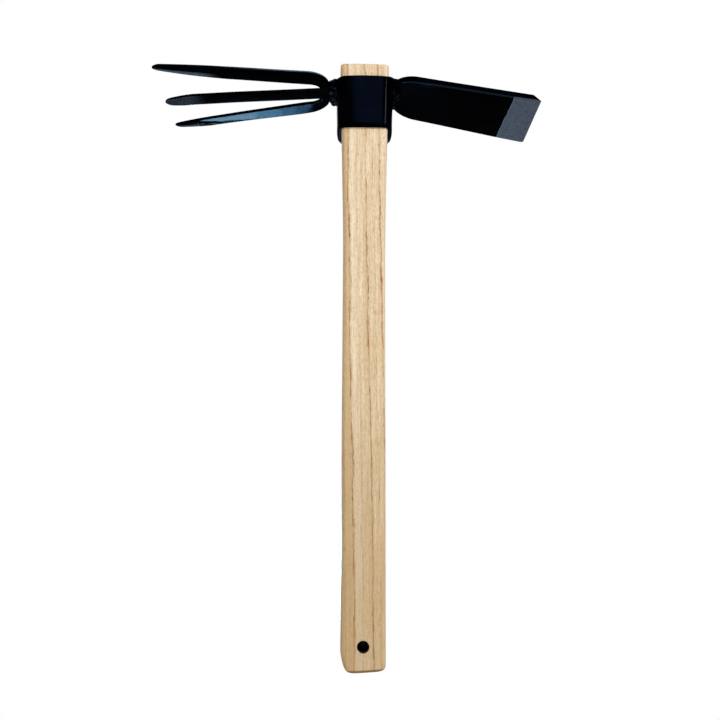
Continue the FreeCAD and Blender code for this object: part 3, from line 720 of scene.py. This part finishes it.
def enamel(name, gloss, dull, chipped, lump=0.0, orange_peel=0.05, facet=False, foot=0.0, forged=0.0):
    """Blue-black baked enamel: nearly no colour of its own, a fine orange peel and a few dull dusty specks,
    as many as it is chipped. gloss is its refractive index, low because the coat is so dark, and dull its
    roughness, which grows below the height foot. lump is the depth of a coarse grain and brings painted
    glints with it, forged is the depth of soft waves, and facet bares the metal where the mesh marks worn
    flats and paints a highlight where it marks a tine's upper edge."""
    coat = Finish(name, IOR=gloss)
    cloud = coat.noise(coat.stretched(0.05, 0.05, 0.05), 3.0)
    peel = coat.noise(coat.stretched(0.9, 0.9, 0.9), 2.0, 0.5)
    speck = coat.noise(coat.stretched(2.3, 2.3, 2.3), 1.0)
    colour = coat.mix(coat.step(0.4, 0.65, cloud), linear(0, 0, 1), linear(1, 2, 5))
    dust = coat.step(0.70, 0.76, speck) * chipped
    colour = coat.mix(dust * 0.5, colour, linear(38, 42, 52))
    if facet:
        # The facet mark bares the metal on worn flats and paints a highlight along the front tine's upper
        # outer edge.
        rubbed = coat.noise(coat.stretched(0.12, 0.9, 0.9), 3.0, 0.6)
        bare_and_highlight = coat.mark("facet") * (0.5 + coat.step(0.3, 0.65, rubbed) * 0.5)
        colour = coat.mix(bare_and_highlight, colour, linear(82, 98, 114))
    rough = (coat.noise(coat.stretched(0.3, 0.3, 0.3), 2.0) * 0.6 + 1.0) * dull + dust * 0.3
    if foot:
        rough = rough + coat.step(foot + 0.6, foot, coat.z) * 0.42
    height = peel * orange_peel
    if forged:
        height = height + coat.noise(coat.stretched(0.16, 0.3, 0.3), 3.0, 0.55) * forged
    if lump:
        grain = coat.noise(coat.stretched(0.75, 0.75, 0.75), 4.0, 0.65)
        height = height + grain * lump
        # Painted glints: bluish-lilac specks lightened into the weld's colour.
        painted_glint = coat.step(0.60, 0.70, coat.noise(coat.stretched(1.15, 1.15, 1.15), 2.0, 0.6))
        colour = coat.mix(painted_glint * 0.8, colour, linear(58, 62, 96))
    coat.feed("Base Color", colour)
    coat.feed("Roughness", rough)
    coat.feed("Normal", coat.bump(height, 0.6, 0.25))
    return coat, colour, rough


def blade_enamel():
    """The enamel, with the ground bevels bare: grey steel with scratches along the grinding, a thin bright
    line where the coat ends, and a painted highlight along the blade's near lower edge."""
    coat, colour, rough = enamel("blade_enamel", 1.015, 0.06, 0.3)
    ragged = coat.noise(coat.stretched(0.8, 0.8, 0.8), 3.0, 0.6)
    border = coat.mark("ground") + (ragged - 0.5) * 0.35
    bare = coat.step(-0.08, 0.08, border)
    scratches = coat.noise(coat.stretched(3.2, 0.16, 3.2), 4.0, 0.7)
    blotch = coat.noise(coat.stretched(0.3, 0.3, 0.3), 3.0, 0.6)
    steel = coat.mix(coat.step(0.3, 0.7, scratches), linear(64, 67, 72), linear(88, 90, 95))
    steel = coat.mix(coat.step(0.45, 0.7, blotch) * 0.45, steel, linear(60, 63, 70))
    bright = coat.step(0.30, 0.05, abs(border - 0.1))
    steel = coat.mix(bright * 0.45, steel, linear(118, 140, 172))
    # Painted highlight: a ragged pale blue-black band along the blade's near lower edge.
    strip = coat.step(0.2, 0.7, coat.mark("edge")) * (0.55 + ragged * 0.6)
    painted = coat.mix(strip, colour, linear(26, 33, 46))
    coat.feed("Base Color", coat.mix(bare, painted, steel))
    coat.feed("Metallic", bare * 0.12)
    coat.feed("Roughness", rough + bare * (0.35 + scratches * 0.2))
    return coat.material


def lamp(name, place, target, size, radiance, colour=(1.0, 1.0, 1.0)):
    """A rectangular lamp aimed at a point; its power is its radiance times pi times its area."""
    light = bpy.data.lights.new(name, "AREA")
    light.shape = "RECTANGLE"
    light.size, light.size_y = size
    light.energy = radiance * math.pi * size[0] * size[1]
    light.color = colour
    holder = bpy.data.objects.new(name, light)
    bpy.context.scene.collection.objects.link(holder)
    holder.location = place
    aim = Vector(target) - Vector(place)
    holder.rotation_euler = aim.to_track_quat("-Z", "Y").to_euler()
    holder.visible_camera = False
    return holder


def gloss_lamp(name, place, target, size, radiance, colour):
    """A lamp that only shows as a reflection in gloss, like a lit card in a studio."""
    holder = lamp(name, place, target, size, radiance, colour)
    holder.visible_diffuse = False
    return holder


def set_lamps():
    """A key lamp without a reflection, one overhead, a row of lit cards behind and below that the rear
    tine's underside mirrors, and two cards in front that the eye and the blade mirror."""
    key = lamp("key", (0.45, -0.9, 0.85), (0.0, 0.0, 0.2), (0.35, 0.35), 20.0)
    key.visible_glossy = False
    lamp("overhead", (0.05, 0.4, 1.2), (0.0, 0.0, 0.37), (0.35, 0.2), 12.0)
    rear_cards = (("rear_bright", -0.156, 0.040, -0.06, 0.080, 450.0, (0.33, 0.68, 1.0)),
                  ("rear_middle", -0.100, 0.039, -0.06, 0.032, 350.0, (0.23, 0.60, 1.0)),
                  ("rear_soft", -0.0715, 0.038, -0.05, 0.025, 240.0, (0.19, 0.55, 1.0)),
                  ("rear_dim", -0.038, 0.036, -0.03, 0.042, 145.0, (0.16, 0.50, 1.0)))
    for name, x, z, target_x, width, radiance, colour in rear_cards:
        gloss_lamp(name, (x, 0.50, z), (target_x, 0.03, 0.365), (width, 0.06), radiance, colour)
    gloss_lamp("navy_panel", (0.075, -1.09, 0.88), (0.0, 0.0, 0.355), (0.42, 0.5), 33.0, (0.20, 0.40, 1.0))
    gloss_lamp("lilac_strip", (0.69, -0.83, 0.735), (0.015, 0.0, 0.355), (0.035, 0.27), 1800.0,
               (0.80, 0.76, 1.0))


def set_world():
    """A plain soft surround for light, and white for what the camera, gloss and glass see."""
    world = bpy.data.worlds.new("studio")
    bpy.context.scene.world = world
    world.use_nodes = True
    tree = world.node_tree
    tree.nodes.clear()
    soft = tree.nodes.new("ShaderNodeBackground")
    soft.inputs[0].default_value = (0.96, 0.98, 1.0, 1.0)
    soft.inputs[1].default_value = 0.62
    white = tree.nodes.new("ShaderNodeBackground")
    white.inputs[0].default_value = (1.0, 1.0, 1.0, 1.0)
    path = tree.nodes.new("ShaderNodeLightPath")
    seen = path.outputs["Is Camera Ray"]
    for ray in ("Is Glossy Ray", "Is Transmission Ray"):
        either = tree.nodes.new("ShaderNodeMath")
        either.operation = "MAXIMUM"
        tree.links.new(seen, either.inputs[0])
        tree.links.new(path.outputs[ray], either.inputs[1])
        seen = either.outputs[0]
    blend = tree.nodes.new("ShaderNodeMixShader")
    tree.links.new(seen, blend.inputs[0])
    tree.links.new(soft.outputs[0], blend.inputs[1])
    tree.links.new(white.outputs[0], blend.inputs[2])
    out = tree.nodes.new("ShaderNodeOutputWorld")
    tree.links.new(blend.outputs[0], out.inputs[0])


def floor_material():
    """Pale floor that keeps the shadow near the object and turns into the white surround farther out."""
    floor = Finish("pale_floor", Roughness=0.9, Specular_IOR_Level=0.1)
    spread = (floor.x * floor.x + floor.y * floor.y) ** 0.5
    near = floor.step(950.0, 350.0, spread)
    tone = floor.noise(floor.stretched(0.01, 0.01, 0.01), 2.0)
    floor.feed("Base Color", floor.mix(tone, linear(226, 226, 226), linear(232, 232, 232)))
    path = floor.tree.nodes.new("ShaderNodeLightPath")
    camera, glossy, glass = (Value(floor, path.outputs[name])
                             for name in ("Is Camera Ray", "Is Glossy Ray", "Is Transmission Ray"))
    seen = glass.math("MAXIMUM", glass, camera.math("MAXIMUM", camera, glossy))
    plain = Value(floor, floor.shader.outputs[0])
    white = floor.node("ShaderNodeEmission", None, {"Color": (1.0, 1.0, 1.0, 1.0), "Strength": 1.0})
    glow = floor.node("ShaderNodeEmission", None, {"Color": (1.0, 1.0, 1.0, 1.0), "Strength": 0.28})
    lit = floor.node("ShaderNodeAddShader", None, {0: plain, 1: glow})
    kept = floor.node("ShaderNodeMixShader", None, {0: near, 1: white, 2: lit})
    shown = floor.node("ShaderNodeMixShader", None, {0: seen, 1: plain, 2: kept})
    floor.tree.links.new(shown.socket, floor.tree.nodes["Material Output"].inputs[0])
    return floor.material


def make_floor():
    """A disc of rings round the origin, well below the object."""
    rings, spokes = 24, 64
    radius = np.linspace(0.0, 1150.0, rings)[:, None]
    turn = np.linspace(0, 2 * np.pi, spokes + 1)[None, :-1]
    points = np.stack(np.broadcast_arrays(radius * np.cos(turn), radius * np.sin(turn), -300.0), axis=-1)
    mesh = bpy.data.meshes.new("floor")
    mesh.from_pydata((points.reshape(-1, 3) * MM).tolist(), [], grid_faces(rings, spokes).tolist())
    mesh.materials.append(floor_material())
    floor = bpy.data.objects.new("floor", mesh)
    bpy.context.scene.collection.objects.link(floor)


def set_camera():
    """The photograph's camera, fitted to the object: its axes are right, up and backwards."""
    camera = bpy.data.cameras.new("camera")
    camera.lens = 45.0
    camera.sensor_width = 36.0
    camera.clip_start = 0.01
    holder = bpy.data.objects.new("camera", camera)
    bpy.context.scene.collection.objects.link(holder)
    right = Vector((0.99991, -0.01318, 0.00392))
    up = Vector((-0.00633, -0.18811, 0.98213))
    back = Vector((-0.01220, -0.98206, -0.18817))
    turned = Matrix((right, up, back)).transposed().to_4x4()
    holder.matrix_world = Matrix.Translation(Vector((-9.659, -581.59, 68.42)) * MM) @ turned
    bpy.context.scene.camera = holder


set_camera()
set_world()
make_floor()
set_lamps()

wood = ash_wood()
plain_enamel = enamel("eye_enamel", 1.03, 0.09, 0.25, foot=EYE_BOTTOM + 2.0)[0].material
tine_enamel = enamel("tine_enamel", 1.02, 0.045, 0.4, facet=True)[0].material
wavy_enamel = enamel("wavy_enamel", 1.02, 0.045, 0.4, facet=True, forged=0.6)[0].material
weld_enamel = enamel("weld_enamel", 1.028, 0.14, 0.8, lump=1.6, orange_peel=0.4)[0].material

handle_mesh(wood)
collar_mesh(plain_enamel)
blade_mesh(blade_enamel())
middle_tine_mesh(tine_enamel)
outer_tine_mesh("tine_front_steel", "tine_front", side=-1, point_length=46.0, lean=1.65, tip_half=2.63,
                breadth=5.3, thick=(3.3, 3.3, 2.5), level=(0.6, 0.6, 0.5), roll=0.1, fuller=0.0, soft=0.8,
                wear=1.2, finish=tine_enamel)
outer_tine_mesh("tine_rear_steel", "tine_rear", side=1, point_length=26.0, lean=-2.2, tip_half=2.5,
                breadth=4.8, thick=(2.2, 2.1, 1.9), level=(0.12, 0.25, -0.3), roll=-0.07, fuller=0.45,
                soft=0.0, wear=-0.7, finish=wavy_enamel)
on_blade = (BLADE_ROOT_Z, BLADE_DROOP, 1)
on_fork = (FORK_ROOT_Z, FORK_DROOP, -1)
weld_mesh("blade_bead_lower", "blade_weld_lower", *on_blade, -1, 4.2, 6.2, 4.2, 13.0, 0.0, 31, weld_enamel)
weld_mesh("blade_bead_upper", "blade_weld_upper", *on_blade, 1, 4.2, 5.6, 3.3, 16.2, 0.1, 37, weld_enamel)
weld_mesh("fork_bead_lower", "fork_weld_lower", *on_fork, -1, 3.4, 5.7, 4.3, 11.8, -0.08, 41, weld_enamel)
weld_mesh("fork_bead_upper", "fork_weld_upper", *on_fork, 1, 3.4, 6.2, 2.5, 12.6, -0.08, 47, weld_enamel)

scene = bpy.context.scene
scene.view_settings.view_transform = "Standard"
